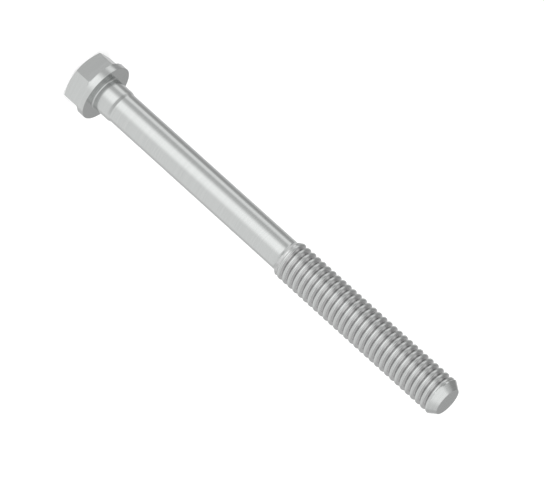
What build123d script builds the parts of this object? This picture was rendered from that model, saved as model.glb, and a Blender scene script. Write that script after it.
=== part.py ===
from build123d import *
from math import cos, pi, radians, tan
import os

# Flange bolt: hex head forged with its flange, pilot collar, reduced shank and the plain body of its thread.
# The bolt stands on the top face of its head: the origin is the centre of that face and +Z runs to the tip.
# All sizes are in millimetres. The thread, 3/8-16 UNC, is carried as the cylinder over its crests.

# Driving dimensions: head
length = 107.95  # from the bearing face to the tip, 4 1/4 in
head_height = 6.48  # from the bearing face to the top of the hex, flange included
across_flats = 12.4
hex_chamfer_circle = 12.2  # diameter of the flat on top of the hex
hex_chamfer_angle = 25.0  # from the top face
flange_diameter = 14.4
flange_thickness = 1.75
flange_fillet = 0.4  # between the flats of the hex and the flange

# Driving dimensions: shank
collar_diameter = 8.3
collar_length = 4.65
collar_taper_length = 0.75
collar_fillet = 0.35  # between the collar and the bearing face
shank_diameter = 7.8

# Driving dimensions: thread body
thread_diameter = 9.44  # over the crests
thread_length = 50.8  # 2 in, with the run-out ramp
thread_ramp_angle = 27.0  # slope of the run-out, from the axis
tip_diameter = 6.88
tip_angle = 34.0  # slope of the point, from the axis

# Levels along the axis
bearing_z = head_height
flange_z = bearing_z - flange_thickness
collar_end_z = bearing_z + collar_length
shank_start_z = collar_end_z + collar_taper_length
tip_z = bearing_z + length
ramp_start_z = tip_z - thread_length

# Radii
corner_radius = across_flats / 2 / cos(pi / 6)
flange_radius = flange_diameter / 2
collar_radius = collar_diameter / 2
shank_radius = shank_diameter / 2
thread_radius = thread_diameter / 2
tip_radius = tip_diameter / 2


def turned(*outline):
    """Solid of revolution about the bolt's axis from a closed outline of radius and height."""
    return revolve(Plane.XZ * make_face(Curve() + list(outline)), Axis.Z)


def head():
    """Hex filleted into its flange, with the corners of the hex turned off at the top."""
    chamfer_drop = (flange_radius - hex_chamfer_circle / 2) * tan(radians(hex_chamfer_angle))
    prism = extrude(RegularPolygon(corner_radius, 6), bearing_z)
    plate_radius = max(flange_radius, corner_radius) + 2 * flange_fillet
    plate = Pos(0, 0, bearing_z) * Cylinder(
        plate_radius, flange_thickness, align=(Align.CENTER, Align.CENTER, Align.MAX)
    )
    blank = prism + plate
    foot_edges = blank.edges().filter_by(GeomType.LINE).filter_by_position(Axis.Z, flange_z, flange_z)
    envelope = Polyline(
        (0, 0),
        (hex_chamfer_circle / 2, 0),
        (flange_radius, chamfer_drop),
        (flange_radius, bearing_z),
        (0, bearing_z),
        close=True,
    )
    return fillet(foot_edges, flange_fillet) & turned(envelope)


def shank():
    """Filleted collar, taper, reduced shank, run-out ramp, thread body and point."""
    fillet_foot = (collar_radius + collar_fillet, bearing_z)
    fillet_end = (collar_radius, bearing_z + collar_fillet)
    ramp_length = (thread_radius - shank_radius) / tan(radians(thread_ramp_angle))
    point_length = (thread_radius - tip_radius) / tan(radians(tip_angle))
    side = Polyline(
        fillet_end,
        (collar_radius, collar_end_z),
        (shank_radius, shank_start_z),
        (shank_radius, ramp_start_z),
        (thread_radius, ramp_start_z + ramp_length),
        (thread_radius, tip_z - point_length),
        (tip_radius, tip_z),
        (0, tip_z),
        (0, bearing_z),
        fillet_foot,
    )
    return turned(RadiusArc(fillet_foot, fillet_end, collar_fillet), side)


bolt = head() + shank()

os.makedirs("parts", exist_ok=True)
export_step(bolt, "parts/flange_bolt.step")
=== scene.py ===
"""Flange bolt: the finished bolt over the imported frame, on a white table with soft light.

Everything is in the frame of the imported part: the bolt stands on its head and +Z runs to its tip. The bolt's
own sizes are in millimetres, and MM turns them into metres. The table, tent, lamps and camera are in metres.
"""

import bmesh
import bpy
from math import ceil, cos, hypot, pi, radians, sin, tan
from mathutils import Matrix, Vector


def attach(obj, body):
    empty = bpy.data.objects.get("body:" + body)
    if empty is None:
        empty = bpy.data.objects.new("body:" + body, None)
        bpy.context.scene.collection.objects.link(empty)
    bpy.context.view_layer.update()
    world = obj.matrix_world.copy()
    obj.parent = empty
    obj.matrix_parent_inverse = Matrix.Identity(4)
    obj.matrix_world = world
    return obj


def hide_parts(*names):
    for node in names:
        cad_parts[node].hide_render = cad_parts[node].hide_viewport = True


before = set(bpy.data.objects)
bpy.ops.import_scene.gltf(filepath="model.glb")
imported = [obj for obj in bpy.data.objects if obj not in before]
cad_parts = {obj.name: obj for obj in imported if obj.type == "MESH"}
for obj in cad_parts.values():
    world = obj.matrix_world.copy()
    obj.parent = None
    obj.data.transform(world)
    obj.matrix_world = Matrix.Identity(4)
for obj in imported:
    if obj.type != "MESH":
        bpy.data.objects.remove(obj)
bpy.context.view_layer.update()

MM = 0.001

# Sizes of the bolt, as in the part's source
HEAD_HEIGHT = 6.48
ACROSS_FLATS = 12.4
TOP_CIRCLE_RADIUS = 6.1
TOP_CHAMFER = radians(25)
FLANGE_RADIUS = 7.2
FLANGE_THICKNESS = 1.75
FLANGE_FILLET = 0.4
COLLAR_RADIUS = 4.15
COLLAR_LENGTH = 4.65
COLLAR_TAPER = 0.75
FOOT_FILLET = 0.35
SHANK_RADIUS = 3.9
THREAD_RADIUS = 4.72
THREAD_LENGTH = 50.8
PITCH = 25.4 / 16
CREST_WIDTH = 0.56
FLANK_ANGLE = radians(30)
TIP_RADIUS = 3.44
TIP_ANGLE = radians(34)
LENGTH = 107.95

BEARING_Z = HEAD_HEIGHT
FLANGE_Z = BEARING_Z - FLANGE_THICKNESS
COLLAR_END_Z = BEARING_Z + COLLAR_LENGTH
TIP_Z = BEARING_Z + LENGTH
RAMP_Z = TIP_Z - THREAD_LENGTH
POINT_Z = TIP_Z - (THREAD_RADIUS - TIP_RADIUS) / tan(TIP_ANGLE)

# Height at which the screw's lower end is cut off, and how far below the tip its last groove lies
SCREW_FOOT_Z = RAMP_Z - 0.1
LAST_GROOVE = 0.18

# The ramp from the shank up to the crests. The groove is at full depth from its start to its end, and its
# runs in and out are the lengths in which its floor comes down from the crests and goes back up to them
RAMP_START_Z = RAMP_Z + 0.45
RAMP_LENGTH = 1.55
GROOVE_START_Z = RAMP_START_Z + 2.2
GROOVE_RUN_IN = 1.5
GROOVE_END_Z = POINT_Z - 0.85
GROOVE_RUN_OUT = 0.7

# How far the edges are broken and the corners rounded
EDGE_BREAK = 0.07
CORNER_EASE = 0.12
CREST_ROUND = 0.40
ROOT_ROUND = 0.05

# How finely the surfaces are divided
TURN_STEPS = 90
HEAD_STEPS = 180
FILLET_STEPS = 8
EDGE_STEPS = 6
EASE_STEPS = 5
ROOT_STEPS = 3

# Corner radius of the hexagonal plate that the head is raised from, outside the flange
PLATE_CORNER = 9.6

# Distances in metres within which doubles are merged, a cut is clean and places count as the same
MERGE_DISTANCE = 0.002 * MM
CUT_DISTANCE = 1e-8
SAME_PLACE = 1e-6

# Edges that turn by more than this stay sharp, and a weight over 50 lets the large faces lead the shading
SHARP_ANGLE = radians(16.5)
LARGE_FACE_WEIGHT = 60


# Shapes


def arc(centre, radius, start, end, steps):
    """Points of an arc in the plane of radius and height."""
    turn = (end - start) / steps
    return [
        (centre[0] + radius * cos(start + turn * i), centre[1] + radius * sin(start + turn * i))
        for i in range(steps + 1)
    ]


def eased(before, corner, after):
    """Points that round a corner of an outline between its two neighbours."""
    corner = Vector(corner)
    start = corner + (Vector(before) - corner).normalized() * CORNER_EASE
    end = corner + (Vector(after) - corner).normalized() * CORNER_EASE
    points = []
    for i in range(EASE_STEPS + 1):
        t = i / EASE_STEPS
        points.append(tuple(start.lerp(corner, t).lerp(corner.lerp(end, t), t)))
    return points


def drawn(bm, outline, base_z=0):
    """Vertices and edges of an outline of (radius, height), with its height 0 at base_z."""
    verts = [bm.verts.new((r * MM, 0, (base_z + z) * MM)) for r, z in outline]
    return verts + [bm.edges.new(pair) for pair in zip(verts, verts[1:])]


def cleaned(bm):
    """Merges doubles and turns every face outwards."""
    bmesh.ops.remove_doubles(bm, verts=bm.verts, dist=MERGE_DISTANCE)
    bmesh.ops.recalc_face_normals(bm, faces=bm.faces)
    return bm


def turned(outline, steps):
    """bmesh of an outline turned once about the bolt's axis."""
    bm = bmesh.new()
    bmesh.ops.spin(
        bm, geom=drawn(bm, outline), cent=(0, 0, 0), axis=(0, 0, 1),
        angle=2 * pi, steps=steps, use_merge=True,
    )
    return cleaned(bm)


def linked(name, bm):
    """Object in the scene holding a bmesh."""
    mesh = bpy.data.meshes.new(name)
    bm.to_mesh(mesh)
    bm.free()
    piece = bpy.data.objects.new(name, mesh)
    bpy.context.scene.collection.objects.link(piece)
    return piece


def cut_to(blank, envelope):
    """Leaves of a blank what lies inside an envelope, and deletes the envelope."""
    cut = blank.modifiers.new("cut_to_envelope", "BOOLEAN")
    cut.operation = "INTERSECT"
    cut.solver = "EXACT"
    cut.object = envelope
    graph = bpy.context.evaluated_depsgraph_get()
    mesh = bpy.data.meshes.new_from_object(blank.evaluated_get(graph))
    blank.modifiers.clear()
    blank.data = mesh
    bpy.data.objects.remove(envelope)
    return blank


def only(geometry, kind):
    """The items of one kind out of an operator's geometry."""
    return [item for item in geometry if isinstance(item, kind)]


def raised(bm, face, height):
    """Extrudes a face along the axis and returns the moved one; the old one stays where it was."""
    moved = only(bmesh.ops.extrude_face_region(bm, geom=[face])["geom"], bmesh.types.BMFace)[0]
    bmesh.ops.translate(bm, verts=moved.verts, vec=(0, 0, height * MM))
    return moved


def centre_of(edge):
    """Middle of an edge."""
    return (edge.verts[0].co + edge.verts[1].co) / 2


def hex_blank():
    """bmesh of a hex filleted into a hexagonal plate, which stands out past the flange."""
    bm = bmesh.new()
    bmesh.ops.create_circle(bm, cap_ends=True, segments=6, radius=PLATE_CORNER * MM)
    bmesh.ops.rotate(bm, verts=bm.verts, cent=(0, 0, 0), matrix=Matrix.Rotation(pi / 6, 3, "Z"))
    bmesh.ops.translate(bm, verts=bm.verts, vec=(0, 0, BEARING_Z * MM))
    plate = raised(bm, bm.faces[:][0], -FLANGE_THICKNESS)
    inset = PLATE_CORNER * cos(pi / 6) - ACROSS_FLATS / 2
    bmesh.ops.inset_region(bm, faces=[plate], thickness=inset * MM, use_even_offset=True)
    foot_centres = [centre_of(e) for e in plate.edges]
    raised(bm, plate, -FLANGE_Z)
    bmesh.ops.delete(bm, geom=[plate], context="FACES_ONLY")
    foot = [e for e in bm.edges if any((centre_of(e) - c).length < SAME_PLACE for c in foot_centres)]
    bmesh.ops.bevel(
        bm, geom=foot, offset=FLANGE_FILLET * MM, offset_type="OFFSET",
        affect="EDGES", segments=FILLET_STEPS, profile=0.5, material=-1,
    )
    bmesh.ops.recalc_face_normals(bm, faces=bm.faces)
    return bm


def head_envelope():
    """bmesh of the head's turned outline: its flat top, chamfer, rim and bearing face."""
    drop = (FLANGE_RADIUS - TOP_CIRCLE_RADIUS) * tan(TOP_CHAMFER)
    rim_centre = (FLANGE_RADIUS - EDGE_BREAK, BEARING_Z - EDGE_BREAK)
    outline = [(0, 0), (TOP_CIRCLE_RADIUS, 0), (FLANGE_RADIUS, drop)]
    outline += arc(rim_centre, EDGE_BREAK, 0, pi / 2, EDGE_STEPS)
    outline += [(0, BEARING_Z)]
    return turned(outline, HEAD_STEPS)


def head():
    """Hex filleted into the flange, turned down to the envelope of both."""
    blank = linked("flange_bolt_visual", hex_blank())
    return cut_to(blank, linked("envelope", head_envelope()))


def envelope_radius(z):
    """Radius of the turned body that the thread is cut in, at a height."""
    t = min(max((z - RAMP_START_Z) / RAMP_LENGTH, 0), 1)
    ramp = SHANK_RADIUS + (THREAD_RADIUS - SHANK_RADIUS) * t * t * (3 - 2 * t)
    point = TIP_RADIUS + (TIP_Z - z) * tan(TIP_ANGLE)
    return min(ramp, point)


def floor_radius(z):
    """Least radius at a height: the groove runs in above the ramp and out again before the point."""
    rise = max((GROOVE_START_Z - z) / GROOVE_RUN_IN, (z - GROOVE_END_Z) / GROOVE_RUN_OUT, 0)
    return min(SHANK_RADIUS + rise * (THREAD_RADIUS - SHANK_RADIUS), envelope_radius(z))


def thread_outline():
    """One pitch of the thread from crest to crest, with its groove at height 0."""
    half_pitch = PITCH / 2
    half_mouth = half_pitch - CREST_WIDTH / 2
    root = THREAD_RADIUS - half_mouth / tan(FLANK_ANGLE)
    turn = pi / 2 - FLANK_ANGLE
    crest_centre = (THREAD_RADIUS - CREST_ROUND, half_mouth + CREST_ROUND * tan(turn / 2))
    floor = root + ROOT_ROUND / sin(FLANK_ANGLE)
    crest = arc(crest_centre, CREST_ROUND, -turn, 0, EDGE_STEPS)
    valley = arc((floor, 0), ROOT_ROUND, pi, pi - turn, ROOT_STEPS)[1:]
    upper = valley + crest + [(THREAD_RADIUS, half_pitch)]
    lower = [(r, -z) for r, z in reversed(upper)]
    return lower + [(floor - ROOT_ROUND, 0)] + upper


def screw():
    """bmesh of full turns of the thread, which reach past both ends of the threaded length."""
    turns = ceil((THREAD_LENGTH + 2 * PITCH) / PITCH)
    bm = bmesh.new()
    bmesh.ops.spin(
        bm, geom=drawn(bm, thread_outline(), TIP_Z - LAST_GROOVE - turns * PITCH), cent=(0, 0, 0),
        axis=(0, 0, 1), dvec=(0, 0, PITCH * MM / TURN_STEPS),
        angle=2 * pi, steps=TURN_STEPS, use_merge=False,
    )
    turn = bm.verts[:] + bm.edges[:] + bm.faces[:]
    for i in range(1, turns + 1):
        copied = only(bmesh.ops.duplicate(bm, geom=turn)["geom"], bmesh.types.BMVert)
        bmesh.ops.translate(bm, verts=copied, vec=(0, 0, i * PITCH * MM))
    bmesh.ops.remove_doubles(bm, verts=bm.verts, dist=MERGE_DISTANCE)
    return bm


def spread(vert, share):
    """Moves a vertex to a share of its distance from the axis."""
    vert.co.x *= share
    vert.co.y *= share


def turned_down(bm):
    """Keeps the screw between the turned envelope and the groove's floor."""
    for vert in bm.verts:
        radius = hypot(vert.co.x, vert.co.y) / MM
        height = vert.co.z / MM
        spread(vert, max(min(radius, envelope_radius(height)), floor_radius(height)) / radius)


def cut_off(bm, height, side):
    """Cuts away what is past a height, above it for side 1 and below it for -1, and returns the open rim."""
    bmesh.ops.bisect_plane(
        bm, geom=bm.verts[:] + bm.edges[:] + bm.faces[:], dist=CUT_DISTANCE,
        plane_co=(0, 0, height * MM), plane_no=(0, 0, side), clear_outer=True,
    )
    return [e for e in bm.edges if e.is_boundary and abs(centre_of(e).z - height * MM) < SAME_PLACE]


def plain_outline():
    """Outline of the plain lengths from the top of the collar's taper down to the bearing face."""
    taper_top = (SHANK_RADIUS, COLLAR_END_Z + COLLAR_TAPER)
    taper_foot = (COLLAR_RADIUS, COLLAR_END_Z)
    foot_centre = (COLLAR_RADIUS + FOOT_FILLET, BEARING_Z + FOOT_FILLET)
    foot = arc(foot_centre, FOOT_FILLET, pi, 1.5 * pi, FILLET_STEPS)
    taper = eased((SHANK_RADIUS, RAMP_Z), taper_top, taper_foot) + eased(taper_top, taper_foot, foot[0])
    return taper + foot


def drawn_out(bm, rim, outline):
    """Draws an open rim of the shank's radius out along an outline, one ring for each of its points."""
    radius = SHANK_RADIUS
    for next_radius, next_z in outline:
        grown = bmesh.ops.extrude_edge_only(bm, edges=rim)["geom"]
        rim = only(grown, bmesh.types.BMEdge)
        for vert in only(grown, bmesh.types.BMVert):
            spread(vert, next_radius / radius)
            vert.co.z = next_z * MM
        radius = next_radius


def shank():
    """Threaded length as one screw, closed at its tip, with the plain lengths drawn out of its lower end."""
    bm = screw()
    turned_down(bm)
    foot = cut_off(bm, SCREW_FOOT_Z, -1)
    tip = cut_off(bm, TIP_Z, 1)
    drawn_out(bm, foot, plain_outline())
    bmesh.ops.edgeloop_fill(bm, edges=tip)
    return linked("shank", cleaned(bm))


def joined(head_piece, shank_piece):
    """One closed body: the bearing face is laid again between the rim and the foot of the collar."""
    bm = bmesh.new()
    bm.from_mesh(head_piece.data)
    height = BEARING_Z * MM
    flat = [f for f in bm.faces if all(abs(v.co.z - height) < SAME_PLACE for v in f.verts)]
    bmesh.ops.delete(bm, geom=flat, context="FACES_ONLY")
    bmesh.ops.delete(bm, geom=[e for e in bm.edges if not e.link_faces], context="EDGES")
    bmesh.ops.delete(bm, geom=[v for v in bm.verts if not v.link_faces], context="VERTS")
    bm.from_mesh(shank_piece.data)
    rims = [e for e in bm.edges if e.is_boundary]
    bmesh.ops.triangle_fill(bm, use_beauty=True, use_dissolve=False, edges=rims, normal=(0, 0, 1))
    cleaned(bm).to_mesh(head_piece.data)
    bm.free()
    bpy.data.objects.remove(shank_piece)
    return head_piece


def shaded(piece):
    """Smooth shading broken at the real edges, with flat faces that look flat up to them."""
    bm = bmesh.new()
    bm.from_mesh(piece.data)
    for face in bm.faces:
        face.smooth = True
    for edge in bm.edges:
        edge.smooth = edge.is_manifold and edge.calc_face_angle() < SHARP_ANGLE
    bm.to_mesh(piece.data)
    bm.free()
    normals = piece.modifiers.new("flat_faces_first", "WEIGHTED_NORMAL")
    normals.keep_sharp = True
    normals.weight = LARGE_FACE_WEIGHT
    return piece


bolt = shaded(joined(head(), shank()))


# Finishes

# The turning marks' scale along X, Y and Z and their detail; the metal's colours, roughness and bump follow
# the marks
MARKS_PER_METRE = (60, 60, 2600)
MARKS_DETAIL = 3.0
METAL_COLOURS = ((0.3, (0.58, 0.594, 0.588, 1)), (0.7, (0.615, 0.629, 0.623, 1)))
ROUGHNESS_RANGE = (0.15, 0.22)
BUMP_STRENGTH = 0.02
BUMP_DEPTH = 0.02 * MM

# The thread's painted light: heights over which it starts and ends, then the radii over which the painted
# lighter tone on the flanks and the painted shade in the roots come in, with their tones
PAINTED_LIGHT_START_Z = (RAMP_START_Z + 0.5, GROOVE_START_Z)
PAINTED_LIGHT_END_Z = (POINT_Z + 0.2, POINT_Z - 0.4)
FLANK_RADII = (4.66, 4.48)
FLANK_LIGHT_TONE = 0.655
ROOT_RADII = (4.05, SHANK_RADIUS)
ROOT_SHADE_TONE = 0.34

# Places of the Mix node's colour sockets, whose names other sockets share
MIX_FIRST = 6
MIX_SECOND = 7
MIX_RESULT = 2


def grey(tone):
    """Colour of one even tone."""
    return (tone, tone, tone, 1)


def feed(tree, value, socket):
    """Links a socket to another one, or writes a plain number or colour into it."""
    if isinstance(value, bpy.types.NodeSocket):
        tree.links.new(value, socket)
    else:
        socket.default_value = value


def worked_out(tree, operation, one, other):
    """Result of one operation on two values, each a socket or a number."""
    node = tree.nodes.new("ShaderNodeMath")
    node.operation = operation
    feed(tree, one, node.inputs[0])
    feed(tree, other, node.inputs[1])
    return node.outputs[0]


def product(tree, one, other):
    """Two values multiplied."""
    return worked_out(tree, "MULTIPLY", one, other)


def ranged(tree, value, before, after, way="LINEAR"):
    """Value carried from one range to another, and held at its ends."""
    node = tree.nodes.new("ShaderNodeMapRange")
    node.interpolation_type = way
    feed(tree, value, node.inputs["Value"])
    for name, number in zip(("From Min", "From Max", "To Min", "To Max"), before + after):
        node.inputs[name].default_value = number
    return node.outputs["Result"]


def stepped(tree, value, start, end):
    """0 before start and 1 past end, smooth between them."""
    return ranged(tree, value, (start, end), (0, 1), "SMOOTHSTEP")


def stepped_mm(tree, value, span):
    """0 before a span in millimetres and 1 past it."""
    return stepped(tree, value, span[0] * MM, span[1] * MM)


def blended(tree, factor, first, second):
    """Mix of two colours, each a socket or a plain colour."""
    node = tree.nodes.new("ShaderNodeMix")
    node.data_type = "RGBA"
    feed(tree, factor, node.inputs[0])
    feed(tree, first, node.inputs[MIX_FIRST])
    feed(tree, second, node.inputs[MIX_SECOND])
    return node.outputs[MIX_RESULT]


def graded(tree, value, stops, way="LINEAR"):
    """Colours that follow a value from 0 to 1 through stops of (place, colour)."""
    node = tree.nodes.new("ShaderNodeValToRGB")
    ramp = node.color_ramp
    ramp.interpolation = way
    while len(ramp.elements) < len(stops):
        ramp.elements.new(1.0)
    for element, (place, colour) in zip(ramp.elements, stops):
        element.position = place
        element.color = colour
    feed(tree, value, node.inputs["Fac"])
    return node.outputs["Color"]


def split_place(tree):
    """Object coordinates, whole and as their X, Y and Z."""
    place = tree.nodes.new("ShaderNodeTexCoord").outputs["Object"]
    split = tree.nodes.new("ShaderNodeSeparateXYZ")
    feed(tree, place, split.inputs[0])
    return place, split.outputs["X"], split.outputs["Y"], split.outputs["Z"]


def turning_marks(tree, place):
    """Fine uneven rings that the lathe leaves round the axis, from 0 to 1."""
    stretch = tree.nodes.new("ShaderNodeMapping")
    stretch.inputs["Scale"].default_value = MARKS_PER_METRE
    feed(tree, place, stretch.inputs["Vector"])
    marks = tree.nodes.new("ShaderNodeTexNoise")
    marks.inputs["Scale"].default_value = 1.0
    marks.inputs["Detail"].default_value = MARKS_DETAIL
    feed(tree, stretch.outputs["Vector"], marks.inputs["Vector"])
    return marks.outputs["Fac"]


def distance_from_axis(tree, x, y):
    """Length of X and Y together."""
    across = tree.nodes.new("ShaderNodeCombineXYZ")
    feed(tree, x, across.inputs["X"])
    feed(tree, y, across.inputs["Y"])
    length = tree.nodes.new("ShaderNodeVectorMath")
    length.operation = "LENGTH"
    feed(tree, across.outputs[0], length.inputs[0])
    return length.outputs["Value"]


def thread_painted_light(tree, metal, radius, height):
    """Colour of the metal with a painted lighter tone on the flanks and painted shade in the roots along the
    thread.
    """
    above_ramp = stepped_mm(tree, height, PAINTED_LIGHT_START_Z)
    below_point = stepped_mm(tree, height, PAINTED_LIGHT_END_Z)
    threaded = product(tree, above_ramp, below_point)
    flank_light_mask = product(tree, threaded, stepped_mm(tree, radius, FLANK_RADII))
    root_shade_mask = product(tree, threaded, stepped_mm(tree, radius, ROOT_RADII))
    # Painted light: the flanks' colour is lightened to stand for the light they catch
    flank_lightened = blended(tree, flank_light_mask, metal, grey(FLANK_LIGHT_TONE))
    # Painted shade: the roots' colour is darkened to stand for the shade deep in the grooves
    return blended(tree, root_shade_mask, flank_lightened, grey(ROOT_SHADE_TONE))


def turned_steel():
    """Bright turned steel with fine marks round the axis."""
    material = bpy.data.materials.new("turned_steel")
    material.use_nodes = True
    tree = material.node_tree
    shader = tree.nodes["Principled BSDF"]
    shader.inputs["Metallic"].default_value = 1.0
    place, x, y, height = split_place(tree)
    marks = turning_marks(tree, place)
    metal = graded(tree, marks, METAL_COLOURS)
    # The thread's colour carries painted light: lighter flanks and painted shade in the roots
    colour = thread_painted_light(tree, metal, distance_from_axis(tree, x, y), height)
    feed(tree, colour, shader.inputs["Base Color"])
    feed(tree, ranged(tree, marks, (0, 1), ROUGHNESS_RANGE), shader.inputs["Roughness"])
    bump = tree.nodes.new("ShaderNodeBump")
    bump.inputs["Strength"].default_value = BUMP_STRENGTH
    bump.inputs["Distance"].default_value = BUMP_DEPTH
    feed(tree, marks, bump.inputs["Height"])
    feed(tree, bump.outputs["Normal"], shader.inputs["Normal"])
    return material


bolt.data.materials.clear()
bolt.data.materials.append(turned_steel())
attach(bolt, "root")
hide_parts("flange_bolt")


# Table and tent

# Bearing of the front, where the camera stands
FRONT = radians(55.0)

WHITE = (1, 1, 1, 1)
STAGE_STEPS = 64
TABLE_RADIUS = 4.0
PAPER_TONE = 0.5
PAPER_GLOW = 0.62

# Strips of the tent's walls: from and to in degrees round from the front, and their tone. Between the strips
# the cloth grades from one tone to the next
LOWER_STRIPS = [
    (-180, -140, 0.71), (-122, -106, 0.46), (-87, -78, 1.08), (-62, -52, 0.65),
    (-20, 2, 1.36), (35, 115, 0.95), (140, 150, 0.67), (170, 180, 0.72),
]
UPPER_STRIPS = [
    (-180, -165, 0.49), (-150, -110, 0.38), (-84, -74, 0.66), (-64, -52, 0.48), (-28, 15, 0.65),
    (50, 78, 0.74), (96, 112, 0.82), (138, 146, 0.60), (170, 180, 0.49),
]

# Tones of the tent's lamp, top and floor, and the degrees over which each part comes in: round from the front
# for the lamp's two sides, and up from level for the lamp's foot, the upper strips, the top and the floor
TENT_RADIUS = 2.0
LAMP_TONE = 1.18
TOP_TONE = 0.63
FLOOR_TONE = 0.88
LAMP_START = (-85, -40)
LAMP_END = (110, 35)
LAMP_FOOT = (26, 38)
UPPER_FOOT = (-2, 8)
TOP_FOOT = (62, 74)
FLOOR_EDGE = (-46, -58)


def white_to_eye_and_metal(tree):
    """1 for camera, glossy and transmission rays, 0 for the rest."""
    path = tree.nodes.new("ShaderNodeLightPath")
    seen = path.outputs["Is Camera Ray"]
    for ray in ("Is Glossy Ray", "Is Transmission Ray"):
        seen = worked_out(tree, "MAXIMUM", seen, path.outputs[ray])
    return seen


def emptied_material(name):
    """New material with an output node alone: the material, its tree and the output's surface."""
    material = bpy.data.materials.new(name)
    material.use_nodes = True
    tree = material.node_tree
    tree.nodes.clear()
    return material, tree, tree.nodes.new("ShaderNodeOutputMaterial").inputs["Surface"]


def table():
    """White table top that glows a little, so that it is white and still takes the bolt's shadow."""
    bm = bmesh.new()
    bmesh.ops.create_circle(bm, cap_ends=True, segments=STAGE_STEPS, radius=TABLE_RADIUS)
    top = linked("table", bm)
    material, tree, surface = emptied_material("table_white")
    paper = tree.nodes.new("ShaderNodeBsdfDiffuse")
    paper.inputs["Color"].default_value = grey(PAPER_TONE)
    glow = tree.nodes.new("ShaderNodeEmission")
    glow.inputs["Color"].default_value = WHITE
    feed(tree, product(tree, white_to_eye_and_metal(tree), PAPER_GLOW), glow.inputs["Strength"])
    both = tree.nodes.new("ShaderNodeAddShader")
    feed(tree, paper.outputs[0], both.inputs[0])
    feed(tree, glow.outputs[0], both.inputs[1])
    feed(tree, both.outputs[0], surface)
    top.data.materials.append(material)
    top.visible_glossy = False


def strips(tree, round_way, tones):
    """Cloth in strips round the tent, each with its own tone."""
    stops = [((angle + 180) / 360, grey(tone)) for start, end, tone in tones for angle in (start, end)]
    return graded(tree, round_way, stops, "EASE")


def tent_cloth():
    """Glowing cloth in two rings of strips, with a lamp over the front, a top and a floor."""
    material, tree, surface = emptied_material("tent_cloth")
    _, x, y, height = split_place(tree)
    bearing = worked_out(tree, "ARCTAN2", y, x)
    round_way = ranged(tree, bearing, (-pi, pi), (0, 1))
    rise = worked_out(tree, "DIVIDE", height, TENT_RADIUS)

    def round_from(span):
        return stepped(tree, bearing, radians(span[0]), radians(span[1]))

    def up_from(span):
        return stepped(tree, rise, sin(radians(span[0])), sin(radians(span[1])))

    lamp_width = product(tree, round_from(LAMP_START), round_from(LAMP_END))
    over_lamp = product(tree, lamp_width, up_from(LAMP_FOOT))
    upper = blended(tree, over_lamp, strips(tree, round_way, UPPER_STRIPS), grey(LAMP_TONE))
    walls = blended(tree, up_from(UPPER_FOOT), strips(tree, round_way, LOWER_STRIPS), upper)
    roofed = blended(tree, up_from(TOP_FOOT), walls, grey(TOP_TONE))
    glow = tree.nodes.new("ShaderNodeEmission")
    feed(tree, blended(tree, up_from(FLOOR_EDGE), roofed, grey(FLOOR_TONE)), glow.inputs["Color"])
    feed(tree, glow.outputs[0], surface)
    return material


def tent():
    """Ball of cloth all round the bolt, which shows in the steel and nowhere else."""
    bm = bmesh.new()
    bmesh.ops.create_uvsphere(bm, u_segments=STAGE_STEPS, v_segments=STAGE_STEPS // 2, radius=TENT_RADIUS)
    bmesh.ops.reverse_faces(bm, faces=bm.faces)
    cloth = linked("tent", bm)
    cloth.rotation_euler.z = FRONT
    cloth.data.materials.append(tent_cloth())
    cloth.visible_camera = False
    cloth.visible_diffuse = False
    cloth.visible_shadow = False
    cloth.visible_transmission = False


table()
tent()


# Lamps and room

LAMP_AIM = Vector((0, 0, 0.05))
ROOM_LEVELS = (0.45, 1.0)


def softbox(name, bearing, elevation, distance, size, power):
    """Square lamp aimed at the bolt's middle, with its bearing and elevation in degrees."""
    data = bpy.data.lights.new(name, "AREA")
    data.shape = "SQUARE"
    data.size = size
    data.energy = power
    lamp = bpy.data.objects.new(name, data)
    a, e = radians(bearing), radians(elevation)
    back = Vector((cos(e) * cos(a), cos(e) * sin(a), sin(e)))
    lamp.location = back * distance + LAMP_AIM
    lamp.rotation_euler = back.to_track_quat("Z", "Y").to_euler()
    lamp.visible_glossy = False
    bpy.context.scene.collection.objects.link(lamp)


def room():
    """White room that lights the bolt at a plain level."""
    world = bpy.data.worlds.new("room")
    bpy.context.scene.world = world
    world.use_nodes = True
    tree = world.node_tree
    background = tree.nodes["Background"]
    background.inputs["Color"].default_value = WHITE
    level = ranged(tree, white_to_eye_and_metal(tree), (0, 1), ROOM_LEVELS)
    feed(tree, level, background.inputs["Strength"])


softbox("key", bearing=40, elevation=62, distance=1.3, size=0.9, power=9)
softbox("fill", bearing=200, elevation=60, distance=1.4, size=1.0, power=6)
room()


# Camera

# The lens and the sensor are in millimetres; NEAREST and FARTHEST are the limits of what the camera sees
CAMERA_ELEVATION = radians(19.75)
CAMERA_ROLL = radians(132.08)
CAMERA_DISTANCE = 1.2141
CAMERA_AIM = Vector((-0.0092, -0.0140, 0.0533))
CAMERA_LENS = 358.4
SENSOR_WIDTH = 36
NEAREST = 0.05
FARTHEST = 20


def camera():
    """Long lens in front of the bolt, a little above it and rolled, so that the bolt lies across the view."""
    data = bpy.data.cameras.new("camera")
    data.lens = CAMERA_LENS
    data.sensor_width = SENSOR_WIDTH
    data.clip_start = NEAREST
    data.clip_end = FARTHEST
    eye = bpy.data.objects.new("camera", data)
    bpy.context.scene.collection.objects.link(eye)
    turn = Matrix.Rotation(FRONT + pi / 2, 4, "Z") @ Matrix.Rotation(pi / 2 - CAMERA_ELEVATION, 4, "X")
    turn = turn @ Matrix.Rotation(CAMERA_ROLL, 4, "Z")
    back = turn.to_3x3() @ Vector((0, 0, 1))
    eye.matrix_world = Matrix.Translation(CAMERA_AIM + back * CAMERA_DISTANCE) @ turn
    bpy.context.scene.camera = eye


camera()
bpy.context.scene.view_settings.view_transform = "Standard"
